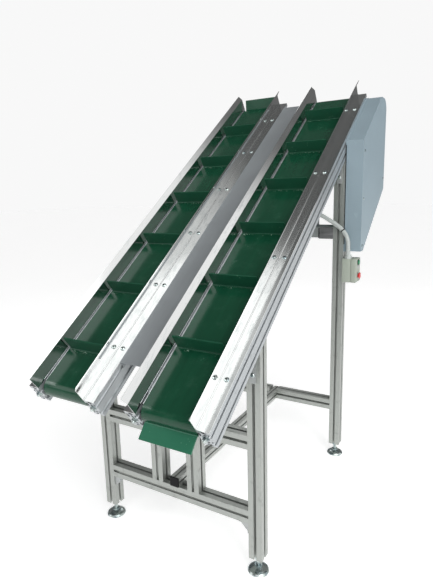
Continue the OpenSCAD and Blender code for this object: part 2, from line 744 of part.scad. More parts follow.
// The top edge runs parallel to the rails, round the drive shaft and level to the corner
module guard_area() {
    over_shaft = [for (i = [0:6]) on_circle(head_m, guard_r, 90 + incline*(6 - i)/6)];
    corner_c = [guard_y1 - guard_corner, head_z + guard_r - guard_corner];
    corner = [for (i = [0:10]) on_circle(corner_c, guard_corner, 90*(10 - i)/10)];
    polygon(concat([[guard_y0, guard_z0],
                    [guard_y0, tail_height + guard_y0*tan(incline) - guard_drop]],
                   over_shaft, corner,
                   [[guard_y1, guard_rear_z0], [guard_y0 + guard_foot, guard_z0]]));
}
module guard_holes() {
    rod_x(guard_x0 - 1, guard_x0 + guard_t + 1, head_y, head_z, shaft_d/2 + 4);
    rod_x(guard_x0 - 1, guard_x0 + guard_t + 1, motor_y, motor_z, shaft_d/2 + 4);
}
module guard_back_plate() {
    color("#9db4be") at_origin() difference() {
        along_x(guard_x0, guard_x0 + rim_w) guard_area();
        along_x(guard_x0 + guard_t, guard_x0 + rim_w + 1) offset(delta = -guard_t) guard_area();
        guard_holes();
    }
}
module guard_cover() {
    lap = guard_t + 0.1;
    color("#9db4be") at_origin() difference() {
        along_x(guard_x0 + guard_t, guard_x1) offset(delta = -lap) guard_area();
        along_x(guard_x0, guard_x1 - guard_t) offset(delta = -lap - guard_t) guard_area();
    }
}

// ---------- button box and conduit ----------

module box_base() {
    color("#bcc0b2") at_origin() difference() {
        translate([box_x0, box_y0, box_z]) cube([box_split, box_w, box_h]);
        translate([box_x0 + 3, box_y0 + 3, box_z + 3]) cube([box_split, box_w - 6, box_h - 6]);
        translate([conduit_x, conduit_top_y, box_z + box_h - 4])
            cylinder(r = conduit_r + 0.3, h = 5, $fn = 32);
    }
}
module box_cover() {
    color("#c3c7b9") at_origin() difference() {
        translate([box_x0 + box_split, box_y0, box_z]) cube([box_d - box_split, box_w, box_h]);
        translate([box_x0 + box_split - 1, box_y0 + 3, box_z + 3])
            cube([box_d - box_split + 1 - 3, box_w - 6, box_h - 6]);
        for (z = [start_z, stop_z]) rod_x(button_x - 5, button_x + 1, button_y, z, button_bore_r);
    }
}
module button(z, outline) {
    at_origin() translate([button_x, button_y, z]) rotate([0, 90, 0])
        rotate_extrude($fn = 64) polygon(outline);
}
button_r = button_bore_r - run_fit;
button_stem = 14;
button_travel = 4;
module start_button() {
    color("#2f8f5a") button(start_z, [[0, -button_stem], [button_r, -button_stem],
        [button_r, button_travel + 1], [button_r - 1, button_travel + 2], [0, button_travel + 2]]);
}
module stop_button() {
    under = button_travel + 1.5;
    color("#c22f2f") button(stop_z, [[0, -button_stem], [button_r, -button_stem], [button_r, under],
        [mushroom_r, under], [mushroom_r, mushroom_reach - 2.5], [mushroom_r - 2, mushroom_reach - 1],
        [mushroom_r - 7, mushroom_reach], [0, mushroom_reach]]);
}

// Conduit centre line, in the machine's X, Y and Z, from the terminal box to the button box
conduit_r = conduit_d/2;
conduit_front_y = front_face_y - conduit_r - 1;  // the conduit lies on the leg's front face
conduit_x = box_x0 + 20;
conduit_top_y = conduit_front_y + 5;
conduit_z0 = term_z0 + term_h/2 + 3;
conduit_path = [
    [term_x0 + term_w + slide_fit, motor_y - 8, conduit_z0],
    [term_x0 + term_w + 10, motor_y - 8, conduit_z0],
    [term_x0 + term_w + 20, motor_y - 8, conduit_z0],
    [arm_x0 - 66, motor_y - 24, conduit_z0 + 6],
    [arm_x0 - 42, conduit_front_y + 38, arm_z + 74],
    [arm_x0 - 15, conduit_front_y + 11, arm_z + 74],
    [arm_x0 + 12, conduit_front_y, arm_z + 66],
    [arm_x0 + 40, conduit_front_y, arm_z + 50],
    [inner_leg_x + 14, conduit_front_y, arm_z + 34],
    [inner_leg_x + 36, conduit_front_y, arm_z + 16],
    [outer_x + 11, conduit_front_y, arm_z - 4],
    [conduit_x - 1, conduit_front_y, arm_z - 28],
    [conduit_x, conduit_front_y, guard_z0 + 12],
    [conduit_x, conduit_front_y + 2, guard_z0 - 4],
    [conduit_x, conduit_top_y, box_z + box_h + 8],
    [conduit_x, conduit_top_y, box_z + box_h - 3],
];
conduit_sides = 12;
function unit(v) = v/norm(v);
function tangent(p, i) = unit(p[min(i + 1, len(p) - 1)] - p[max(i - 1, 0)]);
function ring(p, i, r) = let (t = tangent(p, i), a = unit(cross(t, [0.5, -0.7, 0.5])), b = cross(t, a))
    [for (k = [0:conduit_sides - 1]) p[i] + r*(cos(k*360/conduit_sides)*a + sin(k*360/conduit_sides)*b)];
module sweep(p, r) {
    n = len(p);
    m = conduit_sides;
    polyhedron(
        points = [for (i = [0:n - 1]) each ring(p, i, r)],
        faces = concat(
            [for (i = [0:n - 2], k = [0:m - 1])
                [i*m + k, (i + 1)*m + k, (i + 1)*m + (k + 1) % m, i*m + (k + 1) % m]],
            [[for (k = [0:m - 1]) k]],
            [[for (k = [0:m - 1]) n*m - 1 - k]]));
}
// Points along the smooth curve through the centre line's points
function bend(a, b, c, d, t) =
    0.5*((2*b) + (c - a)*t + (2*a - 5*b + 4*c - d)*t*t + (3*b - a - 3*c + d)*t*t*t);
function smooth(p, steps) = [for (i = [0:len(p) - 2], j = [0:steps - 1])
    bend(p[max(i - 1, 0)], p[i], p[i + 1], p[min(i + 2, len(p) - 1)], j/steps)];
module conduit() {
    last = conduit_path[len(conduit_path) - 1];
    color("#cfd2cb") at_origin() sweep(concat(smooth(conduit_path, 3), [last]), conduit_r);
}

leg_front_left();
leg_front_right();
leg_rear_left();
leg_rear_right();
front_posts();
crossbar_front_lower();
upper_crossbars();
rear_crossbars();
centre_bar();
bar_end_caps();
frame_brackets();
frame_bolts();
motor_arm();
foot_lock_nuts();
foot_front_left();
foot_front_right();
foot_rear_left();
foot_rear_right();
rail_left_outer();
rail_left_inner();
rail_right_inner();
rail_right_outer();
cross_ties();
slider_bed_left();
slider_bed_right();
divider_pan();
guide_left_outer();
guide_left_inner();
guide_right_inner();
guide_right_outer();
guide_screws();
belt_left();
belt_right();
cleats_left();
cleats_right();
drive_shaft();
head_drum_left();
head_drum_right();
head_bearings();
driven_sprocket();
take_up_left();
take_up_right();
tail_roller_left();
tail_roller_right();
tension_bolts();
gearbox();
motor_body();
fan_cover();
terminal_box();
motor_plate();
output_shaft();
motor_sprocket();
drive_chain();
guard_back_plate();
guard_cover();
box_base();
box_cover();
start_button();
stop_button();
conduit();
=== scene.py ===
# An inclined conveyor with two cleated belts: its finishes, and the small pieces round the CAD model.

import math

import bpy
from mathutils import Matrix, Vector


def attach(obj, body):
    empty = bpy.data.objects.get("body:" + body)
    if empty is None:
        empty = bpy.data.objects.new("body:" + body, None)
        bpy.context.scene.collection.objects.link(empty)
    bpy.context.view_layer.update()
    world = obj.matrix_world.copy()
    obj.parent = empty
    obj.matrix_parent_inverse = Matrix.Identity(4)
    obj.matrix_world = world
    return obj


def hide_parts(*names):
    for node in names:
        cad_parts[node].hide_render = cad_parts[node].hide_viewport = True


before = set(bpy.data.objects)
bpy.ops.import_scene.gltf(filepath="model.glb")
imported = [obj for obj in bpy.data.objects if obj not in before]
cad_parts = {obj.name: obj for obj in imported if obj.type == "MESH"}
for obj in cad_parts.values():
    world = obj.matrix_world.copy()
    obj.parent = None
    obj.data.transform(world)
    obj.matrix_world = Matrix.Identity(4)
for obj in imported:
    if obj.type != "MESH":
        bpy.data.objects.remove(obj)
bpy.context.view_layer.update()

# ---------- the machine's own measures, in metres ----------

MM = 0.001
INCLINE = math.radians(35)
ALONG = Vector((0, math.cos(INCLINE), math.sin(INCLINE)))       # up the lanes
SQUARE = Vector((0, -math.sin(INCLINE), math.cos(INCLINE)))     # square to the belts
ORIGIN = Vector((26.0, 636.144, 0)) * MM       # the frame's origin, from the loading end's middle
TAIL_HEIGHT = 549 * MM
CLEAT_PITCH = 225 * MM
FIRST_CLEAT = {"right": 204.6 * MM, "left": 142 * MM}
CLEATS_ON_TOP = 6
LANE_INNER, LANE_OUTER = 83 * MM, 249 * MM     # a lane's clear width runs between these
RAIL_WIDTH = 35 * MM
RAIL_LENGTH = 1500 * MM
LANES = (("left", -1), ("right", 1))
LANE_EDGES = (("inner", LANE_INNER, -1), ("outer", LANE_OUTER, 1))     # with the way out to the rail


def lane_point(x, s, n):
    """A point x across the machine, s along the lane and n square above the rails' top."""
    return Vector((x, 0, TAIL_HEIGHT)) + ALONG * s + SQUARE * n - ORIGIN


def machine_point(x, y, z):
    """A point in millimetres, measured from the loading end's middle on the floor."""
    return Vector((x, y, z)) * MM - ORIGIN


LANE_START = lane_point(0, 0, 0).dot(ALONG)
LANE_TURN = Matrix.Rotation(INCLINE, 4, "X")
FACE_X = Matrix.Rotation(math.pi / 2, 4, "Y")  # turns an upright piece to face +X

# ---------- shader arithmetic ----------

COLOUR_LOW, COLOUR_HIGH, COLOUR_RESULT = 6, 7, 2       # a Mix node's sockets that carry colours


class Net:
    """One material's nodes."""

    def __init__(self, name):
        self.material = bpy.data.materials.new(name)
        self.material.use_nodes = True
        self.tree = self.material.node_tree
        self.shader = self.tree.nodes["Principled BSDF"]
        self.place = self.node("ShaderNodeTexCoord").outputs["Object"]

    def node(self, kind, settings=None, inputs=None):
        made = self.tree.nodes.new(kind)
        for key, value in (settings or {}).items():
            setattr(made, key, value)
        for key, value in (inputs or {}).items():
            self.put(made.inputs[key], value)
        return made

    def put(self, socket, value):
        if isinstance(value, Wire):
            value = value.socket
        if isinstance(value, bpy.types.NodeSocket):
            self.tree.links.new(value, socket)
        else:
            socket.default_value = value

    def turned(self, turn=(0, 0, 0), stretch=(1, 1, 1)):
        """Object coordinates turned, then stretched."""
        first = self.node("ShaderNodeMapping", None, {"Vector": self.place, "Rotation": turn})
        second = self.node("ShaderNodeMapping", None, {"Vector": first.outputs[0], "Scale": stretch})
        return second.outputs[0]

    def noise(self, scale, detail=3.0, rough=0.55, at=None):
        made = self.node("ShaderNodeTexNoise", None, {
            "Vector": at or self.place, "Scale": scale, "Detail": detail, "Roughness": rough})
        return Wire(self, made.outputs["Fac"])

    def speckle(self, scale):
        """Distance to the nearest of many scattered points."""
        made = self.node("ShaderNodeTexVoronoi", None, {"Vector": self.place, "Scale": scale})
        return Wire(self, made.outputs["Distance"])

    def along(self, direction, offset=0.0):
        """How far a point lies along a direction, in metres."""
        made = self.node("ShaderNodeVectorMath", {"operation": "DOT_PRODUCT"},
                         {0: self.place, 1: tuple(direction)})
        return Wire(self, made.outputs["Value"]) + offset

    def mix(self, mask, low, high):
        """The low colour where the mask is 0 and the high one where it is 1."""
        made = self.node("ShaderNodeMix", {"data_type": "RGBA"}, {"Factor": mask})
        self.put(made.inputs[COLOUR_LOW], low)
        self.put(made.inputs[COLOUR_HIGH], high)
        return made.outputs[COLOUR_RESULT]

    def relief(self, height, strength, depth, under=None):
        """A bump from a height, over another bump if one is given."""
        inputs = {"Height": height, "Strength": strength, "Distance": depth}
        if under is not None:
            inputs["Normal"] = under
        return self.node("ShaderNodeBump", None, inputs).outputs["Normal"]

    def finish(self, **sockets):
        for key, value in sockets.items():
            self.put(self.shader.inputs[key.replace("_", " ")], value)
        return self.material


class Wire:
    """A number in a shader that Python arithmetic works on."""

    def __init__(self, net, socket):
        self.net = net
        self.socket = socket

    def math(self, operation, first, second=0.0):
        made = self.net.node("ShaderNodeMath", {"operation": operation}, {0: first, 1: second})
        return Wire(self.net, made.outputs[0])

    def __add__(self, other):
        return self.math("ADD", self, other)

    def __radd__(self, other):
        return self.math("ADD", other, self)

    def __sub__(self, other):
        return self.math("SUBTRACT", self, other)

    def __rsub__(self, other):
        return self.math("SUBTRACT", other, self)

    def __mul__(self, other):
        return self.math("MULTIPLY", self, other)

    def __rmul__(self, other):
        return self.math("MULTIPLY", other, self)

    def __truediv__(self, other):
        return self.math("DIVIDE", self, other)

    def __abs__(self):
        return self.math("ABSOLUTE", self)

    def above(self, edge, soft):
        """0 below the edge, 1 above it, over a soft step."""
        made = self.net.node("ShaderNodeMapRange", {"interpolation_type": "SMOOTHSTEP"}, {
            "Value": self, "From Min": edge - soft, "From Max": edge + soft})
        return Wire(self.net, made.outputs[0])

    def below(self, edge, soft):
        return 1 - self.above(edge, soft)

    def fraction(self):
        return self.math("FRACT", self)


def shade(colour, factor):
    """A colour made darker or lighter, as the four numbers that a socket takes."""
    return tuple(min(1.0, c * factor) for c in colour) + (1.0,)


# ---------- materials ----------

TO_LANE = (-INCLINE, 0, 0)
GRAIN = {"x": (4, 900, 900), "y": (900, 4, 900), "z": (900, 900, 4), "lane": (900, 4, 900)}


def extruded_aluminium(name, grain, colour, rough):
    """Anodised extrusion: fine drawing lines along its length, handling marks and dull patches."""
    net = Net(name)
    turn = TO_LANE if grain == "lane" else (0, 0, 0)
    lines = net.noise(1.0, 2.0, 0.6, net.turned(turn, GRAIN[grain]))
    patches = net.noise(9.0, 4.0)
    smudges = net.noise(38.0, 5.0, 0.65)
    dirt = smudges.above(0.63, 0.09) * 0.45
    tone = net.mix(lines * 0.5 + patches * 0.5, shade(colour, 0.86), shade(colour, 1.14))
    tone = net.mix(dirt, tone, shade(colour, 0.62))
    normal = net.relief(lines, 0.10, 0.0004)
    return net.finish(Base_Color=tone, Metallic=0.75,
                      Roughness=rough + (lines - 0.5) * 0.16 + (patches - 0.5) * 0.14 + dirt * 0.2,
                      Normal=normal)


def polished_stainless(name):
    """Near-mirror sheet: faint grinding lines along the lane, slow waves, wiped smears."""
    net = Net(name)
    lines = net.noise(1.0, 2.0, 0.6, net.turned(TO_LANE, (700, 5, 700)))
    waves = net.noise(1.0, 1.0, 0.4, net.turned(TO_LANE, (14, 5, 14)))
    smears = net.noise(1.0, 5.0, 0.7, net.turned(TO_LANE, (55, 16, 55)))
    cloud = smears.above(0.60, 0.12)
    tone = net.mix(cloud, (0.69, 0.70, 0.695, 1), (0.58, 0.60, 0.60, 1))
    normal = net.relief(lines, 0.03, 0.0002, net.relief(waves, 0.28, 0.0016))
    return net.finish(Base_Color=tone, Metallic=1.0, Roughness=0.07 + cloud * 0.09 + lines * 0.05,
                      Normal=normal)


def belt_vinyl(name, first):
    """Glossy green belt cover: glue specks beside each cleat, dust and dull rubbed patches."""
    net = Net(name)
    colour = (0.0042, 0.052, 0.025)
    along_lane = net.along(ALONG, -LANE_START - first)
    # 20.5 keeps the fraction's input above 0, with each cleat at a fraction of a half
    from_cleat = abs((along_lane / CLEAT_PITCH + 20.5).fraction() - 0.5) * CLEAT_PITCH
    beside = from_cleat.below(0.011, 0.004)
    specks = net.speckle(190.0).below(0.30, 0.08) * net.noise(46.0, 2.0).above(0.53, 0.05)
    dust = net.noise(21.0, 6.0, 0.7).above(0.60, 0.12)
    rub = net.noise(1.0, 4.0, 0.6, net.turned(TO_LANE, (60, 6, 60)))
    weave = net.noise(1.0, 1.0, 0.5, net.turned(TO_LANE, (1400, 1400, 1400)))
    tone = net.mix(rub, shade(colour, 0.80), shade(colour, 1.30))
    tone = net.mix(dust * 0.07, tone, (0.10, 0.23, 0.16, 1))
    tone = net.mix(beside * specks * 0.8, tone, (0.42, 0.60, 0.48, 1))
    normal = net.relief(weave, 0.06, 0.0002, net.relief(net.noise(7.0, 2.0), 0.10, 0.002))
    return net.finish(Base_Color=tone, Roughness=0.13 + rub * 0.10 + dust * 0.10, Normal=normal,
                      Specular_IOR_Level=0.38)


def cleat_vinyl(name):
    """Green strip: cloudy tone, small pale nicks, and painted lighter green as a highlight where it
    hangs at the tail.
    """
    net = Net(name)
    colour = (0.006, 0.066, 0.033)
    patches = net.noise(16.0, 5.0, 0.65)
    nicks = net.speckle(120.0).below(0.16, 0.05) * net.noise(30.0, 2.0).above(0.60, 0.05)
    tone = net.mix(patches, shade(colour, 0.72), shade(colour, 1.28))
    tone = net.mix(nicks * 0.6, tone, (0.25, 0.42, 0.32, 1))
    # painted highlight: cleats hanging round the tail are painted lighter green, as if lit by the lamps
    lit_at_tail = net.along(ALONG, -LANE_START).below(0.012, 0.02)
    tone = net.mix(lit_at_tail * 0.6, tone, (0.022, 0.175, 0.098, 1))
    return net.finish(Base_Color=tone, Roughness=0.24 + patches * 0.18,
                      Normal=net.relief(patches, 0.12, 0.0008))


def powder_coat(name, colour, rough=0.42, grain=430.0):
    """Sprayed coat: orange-peel relief, faint cloudiness and a few rubbed marks."""
    net = Net(name)
    peel = net.noise(grain, 2.0, 0.5)
    cloud = net.noise(6.0, 3.0)
    rubbed = net.noise(1.0, 5.0, 0.7, net.turned((0.4, 0.2, 0.1), (40, 40, 9))).above(0.66, 0.06)
    tone = net.mix(cloud, shade(colour, 0.93), shade(colour, 1.07))
    tone = net.mix(rubbed * 0.25, tone, shade(colour, 1.35))
    return net.finish(Base_Color=tone, Roughness=rough + peel * 0.08 + rubbed * 0.1,
                      Normal=net.relief(peel, 0.16, 0.0003))


def zinc(name):
    """Bright zinc plate with a faint blue-and-straw bloom and dull spots."""
    net = Net(name)
    colour = (0.34, 0.42, 0.44)
    bloom = net.noise(60.0, 3.0)
    spots = net.speckle(260.0).below(0.20, 0.08) * 0.5
    tone = net.mix(bloom.above(0.5, 0.12), shade(colour, 0.70), (0.56, 0.62, 0.60, 1))
    tone = net.mix(spots, tone, shade(colour, 0.6))
    return net.finish(Base_Color=tone, Metallic=0.95, Roughness=0.20 + bloom * 0.14 + spots * 0.25,
                      Normal=net.relief(bloom, 0.08, 0.0003))


def sheet_steel(name, colour):
    """Matt rolled sheet with long faint rolling lines and water marks."""
    net = Net(name)
    lines = net.noise(1.0, 3.0, 0.6, net.turned(TO_LANE, (260, 5, 260)))
    marks = net.noise(11.0, 6.0, 0.65)
    tone = net.mix(lines * 0.35 + marks * 0.65, shade(colour, 0.82), shade(colour, 1.20))
    return net.finish(Base_Color=tone, Metallic=0.55, Roughness=0.42 + marks * 0.22,
                      Normal=net.relief(lines, 0.08, 0.0004))


def turned_steel(name, colour=(0.50, 0.51, 0.52), rough=0.26):
    """Lathe-turned steel: fine rings across the shaft's axis and a film of oil."""
    net = Net(name)
    rings = net.noise(1.0, 2.0, 0.6, net.turned((0, 0, 0), (1500, 6, 6)))
    film = net.noise(30.0, 4.0)
    tone = net.mix(rings * 0.5 + film * 0.5, shade(colour, 0.74), shade(colour, 1.2))
    return net.finish(Base_Color=tone, Metallic=1.0, Roughness=rough + film * 0.2,
                      Normal=net.relief(rings, 0.14, 0.0003))


def oiled_steel(name):
    """Dark chain steel under a patchy film of oil."""
    net = Net(name)
    film = net.noise(140.0, 4.0, 0.6)
    tone = net.mix(film, (0.09, 0.09, 0.095, 1), (0.26, 0.26, 0.26, 1))
    return net.finish(Base_Color=tone, Metallic=0.9, Roughness=0.26 + film * 0.25,
                      Normal=net.relief(film, 0.12, 0.0003))


def moulded(name, colour, rough=0.42, gloss=0.0, texture=900.0, shine=0.5):
    """Moulded plastic: fine spark texture, slight shade change and soft scuffs."""
    net = Net(name)
    spark = net.noise(texture, 2.0, 0.6)
    cloud = net.noise(24.0, 4.0)
    scuffs = net.noise(70.0, 6.0, 0.7).above(0.64, 0.05)
    tone = net.mix(cloud, shade(colour, 0.90), shade(colour, 1.10))
    tone = net.mix(scuffs * 0.3, tone, shade(colour, 1.45))
    net.put(net.shader.inputs["Coat Weight"], gloss)
    return net.finish(Base_Color=tone, Roughness=rough + spark * 0.12 + scuffs * 0.1,
                      Normal=net.relief(spark, 0.14, 0.0002), Specular_IOR_Level=shine)


STAND = (0.40, 0.418, 0.396)
FINISH = {
    "stand_upright": extruded_aluminium("stand_upright", "z", STAND, 0.40),
    "stand_cross": extruded_aluminium("stand_cross", "x", STAND, 0.40),
    "stand_along": extruded_aluminium("stand_along", "y", STAND, 0.40),
    "rail": extruded_aluminium("rail_extrusion", "lane", (0.45, 0.475, 0.49), 0.36),
    # painted shade: the arm's aluminium is a darker copy of the stand's, for the shadow it hangs in
    # under the rails
    "arm": extruded_aluminium("arm_bar_painted_shade", "x", (0.21, 0.21, 0.215), 0.46),
    "bracket": extruded_aluminium("cast_bracket", "z", (0.44, 0.455, 0.455), 0.48),
    "mirror": polished_stainless("polished_stainless"),
    "belt_right": belt_vinyl("belt_cover_right", FIRST_CLEAT["right"]),
    "belt_left": belt_vinyl("belt_cover_left", FIRST_CLEAT["left"]),
    "cleat": cleat_vinyl("cleat_vinyl"),
    "guard": powder_coat("guard_coat", (0.235, 0.305, 0.345)),
    "motor": powder_coat("motor_enamel", (0.075, 0.09, 0.10), 0.36, 300.0),
    "pan": sheet_steel("pan_sheet", (0.34, 0.365, 0.38)),
    "bed": sheet_steel("bed_sheet", (0.46, 0.47, 0.48)),
    "zinc": zinc("bright_zinc"),
    "steel": turned_steel("turned_steel"),
    "roller": turned_steel("roller_steel", (0.42, 0.43, 0.44), 0.34),
    "chain": oiled_steel("oiled_steel"),
    "box": moulded("box_shell", (0.335, 0.37, 0.315), 0.50),
    "label": moulded("label_plate", (0.30, 0.31, 0.30), 0.35, 0.2),
    "green": moulded("start_green", (0.012, 0.21, 0.085), 0.26, 0.5, 500.0),
    "red": moulded("stop_red", (0.52, 0.016, 0.014), 0.26, 0.5, 500.0),
    "conduit": moulded("conduit_grey", (0.43, 0.46, 0.445), 0.46),
    "black": moulded("black_cap", (0.008, 0.008, 0.009), 0.45, 0.0, 600.0, 0.15),
}

NODE_FINISH = {
    "leg_front_left": "stand_upright", "leg_front_right": "stand_upright",
    "leg_rear_left": "stand_upright", "leg_rear_right": "stand_upright", "front_posts": "stand_upright",
    "crossbar_front_lower": "stand_cross", "upper_crossbars": "stand_cross",
    "rear_crossbars": "stand_cross", "motor_arm": "arm", "centre_bar": "stand_along",
    "frame_brackets": "bracket", "cross_ties": "bracket", "motor_plate": "bracket",
    "bar_end_caps": "black", "frame_bolts": "zinc", "foot_lock_nuts": "zinc", "guide_screws": "zinc",
    "tension_bolts": "zinc", "divider_pan": "pan", "slider_bed_left": "bed", "slider_bed_right": "bed",
    "belt_left": "belt_left", "belt_right": "belt_right", "cleats_left": "cleat",
    "cleats_right": "cleat", "drive_shaft": "steel", "output_shaft": "steel", "head_bearings": "steel",
    "head_drum_left": "roller", "head_drum_right": "roller", "tail_roller_left": "roller",
    "tail_roller_right": "roller", "take_up_left": "steel", "take_up_right": "steel",
    "driven_sprocket": "chain", "motor_sprocket": "chain", "drive_chain": "chain",
    "gearbox": "motor", "motor_body": "motor", "fan_cover": "motor", "terminal_box": "motor",
    "guard_back_plate": "guard", "guard_cover": "guard", "box_base": "box", "box_cover": "box",
    "start_button": "green", "stop_button": "red", "conduit": "conduit",
}
for side, _ in LANES:
    for part in ("front", "rear"):
        NODE_FINISH[f"foot_{part}_{side}"] = "zinc"
    for part in ("inner", "outer"):
        NODE_FINISH[f"rail_{side}_{part}"] = "rail"
        NODE_FINISH[f"guide_{side}_{part}"] = "mirror"


def dress(piece, finish):
    """Gives a piece one finish and no other."""
    piece.data.materials.clear()
    piece.data.materials.append(FINISH[finish])


for node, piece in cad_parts.items():
    dress(piece, NODE_FINISH[node])

# ---------- modelling ----------


def deselect():
    bpy.ops.object.select_all(action="DESELECT")


def select_only(piece):
    deselect()
    piece.select_set(True)
    bpy.context.view_layer.objects.active = piece


def modify(piece, kind, **settings):
    """Adds a modifier and applies it."""
    select_only(piece)
    made = piece.modifiers.new(kind.lower(), kind)
    for key, value in settings.items():
        setattr(made, key, value)
    bpy.ops.object.modifier_apply(modifier=made.name)


def settle(piece, name, finish, body, turn=None, place=None, smooth=30):
    """Names a piece, fixes its place in its mesh, shades it and lets it ride."""
    piece.name = name
    select_only(piece)
    bpy.ops.object.transform_apply(location=True, rotation=True, scale=True)
    if turn is not None:
        piece.data.transform(turn)
    if place is not None:
        piece.data.transform(Matrix.Translation(place))
    piece.data.update()
    bpy.ops.object.shade_smooth_by_angle(angle=math.radians(smooth))
    dress(piece, finish)
    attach(piece, body)
    return piece


def rod(radius, length, sides, turn):
    """A plain rod round the origin, turned from upright."""
    deselect()
    bpy.ops.mesh.primitive_cylinder_add(vertices=sides, radius=radius, depth=length, rotation=turn)
    return bpy.context.object


def block(size, edge, at=(0, 0, 0)):
    """A block with rounded edges, centred on a point."""
    deselect()
    bpy.ops.mesh.primitive_cube_add(size=1, location=at)
    piece = bpy.context.object
    piece.scale = size
    bpy.ops.object.transform_apply(location=True, rotation=True, scale=True)
    modify(piece, "BEVEL", width=edge, segments=2, limit_method="NONE")
    return piece


def turned_piece(steps, sides=24):
    """A closed turned piece along +Z: a disc pushed up step by step to (radius, height)."""
    deselect()
    radius, height = steps[0]
    bpy.ops.mesh.primitive_circle_add(vertices=sides, radius=radius, fill_type="NGON",
                                      location=(0, 0, height))
    piece = bpy.context.object
    bpy.ops.object.mode_set(mode="EDIT")
    bpy.ops.mesh.select_all(action="SELECT")
    for next_radius, next_height in steps[1:]:
        bpy.ops.mesh.extrude_region_move(TRANSFORM_OT_translate={"value": (0, 0, next_height - height)})
        factor = next_radius / radius
        bpy.ops.transform.resize(value=(factor, factor, 1))
        radius, height = next_radius, next_height
    bpy.ops.mesh.select_all(action="SELECT")
    bpy.ops.mesh.normals_make_consistent(inside=False)
    bpy.ops.object.mode_set(mode="OBJECT")
    return piece


def copy_piece(piece):
    """A copy with its own mesh."""
    made = piece.copy()
    made.data = piece.data.copy()
    bpy.context.collection.objects.link(made)
    return made


def join(pieces):
    """One piece made of several."""
    select_only(pieces[0])
    for piece in pieces[1:]:
        piece.select_set(True)
    if len(pieces) > 1:
        bpy.ops.object.join()
    return bpy.context.object


# ---------- strip and fold along each guide ----------

LANE_MIDDLE = RAIL_LENGTH / 2
STRIP_WIDTH, STRIP_THICK = 2.2 * MM, 1.4 * MM
STRIP_LENGTH = RAIL_LENGTH - 60 * MM
STRIP_PLACE = 4.2 * MM                         # its middle, from the lane's edge
STRIP_SUNK = 1.5 * MM
FOLD_RADIUS = 1.7 * MM
FOLD_LENGTH = RAIL_LENGTH - 1 * MM
GUIDE_THICK = 2 * MM
FOLD_PLACE = GUIDE_THICK + 0.35 * MM           # its centre, from the guide's two outer faces
ACROSS = (0, math.pi / 2, 0)                   # turns an upright rod across the machine
LEVEL = (math.pi / 2, 0, 0)                    # turns an upright rod along the machine


def belt_strips():
    """A narrow bright strip on the slider bed, between each guide's foot and its belt."""
    for side, sign in LANES:
        for part, edge, outward in LANE_EDGES:
            centre = sign * (edge - outward * STRIP_PLACE)
            piece = block((STRIP_WIDTH, STRIP_LENGTH, STRIP_THICK), 0.4 * MM)
            settle(piece, f"belt_strip_{side}_{part}", "rail", "frame",
                   LANE_TURN, lane_point(centre, LANE_MIDDLE, -STRIP_SUNK))


def guide_folds():
    """The rounded inside of each guide's fold, where its upright meets its flange."""
    for side, sign in LANES:
        for part, edge, outward in LANE_EDGES:
            piece = rod(FOLD_RADIUS, FOLD_LENGTH, 12, LEVEL)
            corner = sign * (edge + outward * FOLD_PLACE)
            settle(piece, f"guide_fold_{side}_{part}", "mirror", "frame",
                   LANE_TURN, lane_point(corner, LANE_MIDDLE, FOLD_PLACE), smooth=60)


# ---------- painted shade in the guide screws' hex sockets ---

HEAD_TOP = 5.8 * MM
SOCKET_RADIUS, SOCKET_SUNK, SOCKET_PROUD = 2.9 * MM, 0.4 * MM, 0.15 * MM


def screw_row(first, last, count):
    """Even places along a rail, from the first screw to the last."""
    return [(first + k * (last - first) / (count - 1)) * MM for k in range(count)]


FOUR_SCREWS = screw_row(135, 1378, 4)          # along the right lane's outer rail
SIX_SCREWS = screw_row(167, 1362, 6)           # along the other three


def screw_socket_shade():
    """A black hexagon on top of each guide screw's head, painted shade for the dark recess of its
    socket.
    """
    sockets = []
    for side, sign in LANES:
        for part, edge, outward in LANE_EDGES:
            middle = sign * (edge + outward * RAIL_WIDTH / 2)
            row = FOUR_SCREWS if (side, part) == ("right", "outer") else SIX_SCREWS
            for s in row:
                # painted shade: a proud black hexagon where the socket's recess would lie in shadow
                made = turned_piece([(SOCKET_RADIUS, -SOCKET_SUNK), (SOCKET_RADIUS, SOCKET_PROUD)], 6)
                made.data.transform(LANE_TURN)
                made.data.transform(Matrix.Translation(lane_point(middle, s, HEAD_TOP)))
                sockets.append(made)
    settle(join(sockets), "screw_socket_shade", "black", "frame")


# ---------- strips on the motor's arm and beside the guard ----------

ARM_STRIP = (50 * MM, 1.6 * MM, 9.4 * MM)
# painted shade: a black strip where the gap beside the guard lies in shadow
GAP_SHADE_STRIP = (3 * MM, 1.2 * MM, 350 * MM)


def arm_strip():
    """The strip that fills the front groove of the motor's arm."""
    # the strip takes the arm's finish, painted darker as shade
    settle(block(ARM_STRIP, 0.3 * MM), "arm_strip", "arm", "frame", None,
           machine_point(218, 965.4, 888))


def guard_gap_shade():
    """A black strip, painted shade for the shadowed gap between the right rear leg and the guard."""
    settle(block(GAP_SHADE_STRIP, 0.4 * MM), "guard_gap_shade", "black", "frame", None,
           machine_point(285.8, 964.6, 1025))


# ---------- weld beads at the cleats' feet ----------

CLEAT_WIDTH = 146 * MM
BEAD_RADIUS = 1.5 * MM
BEAD_OUT, BEAD_UP = 4.2 * MM, 0.2 * MM         # from the cleat's middle, and above the rails' top


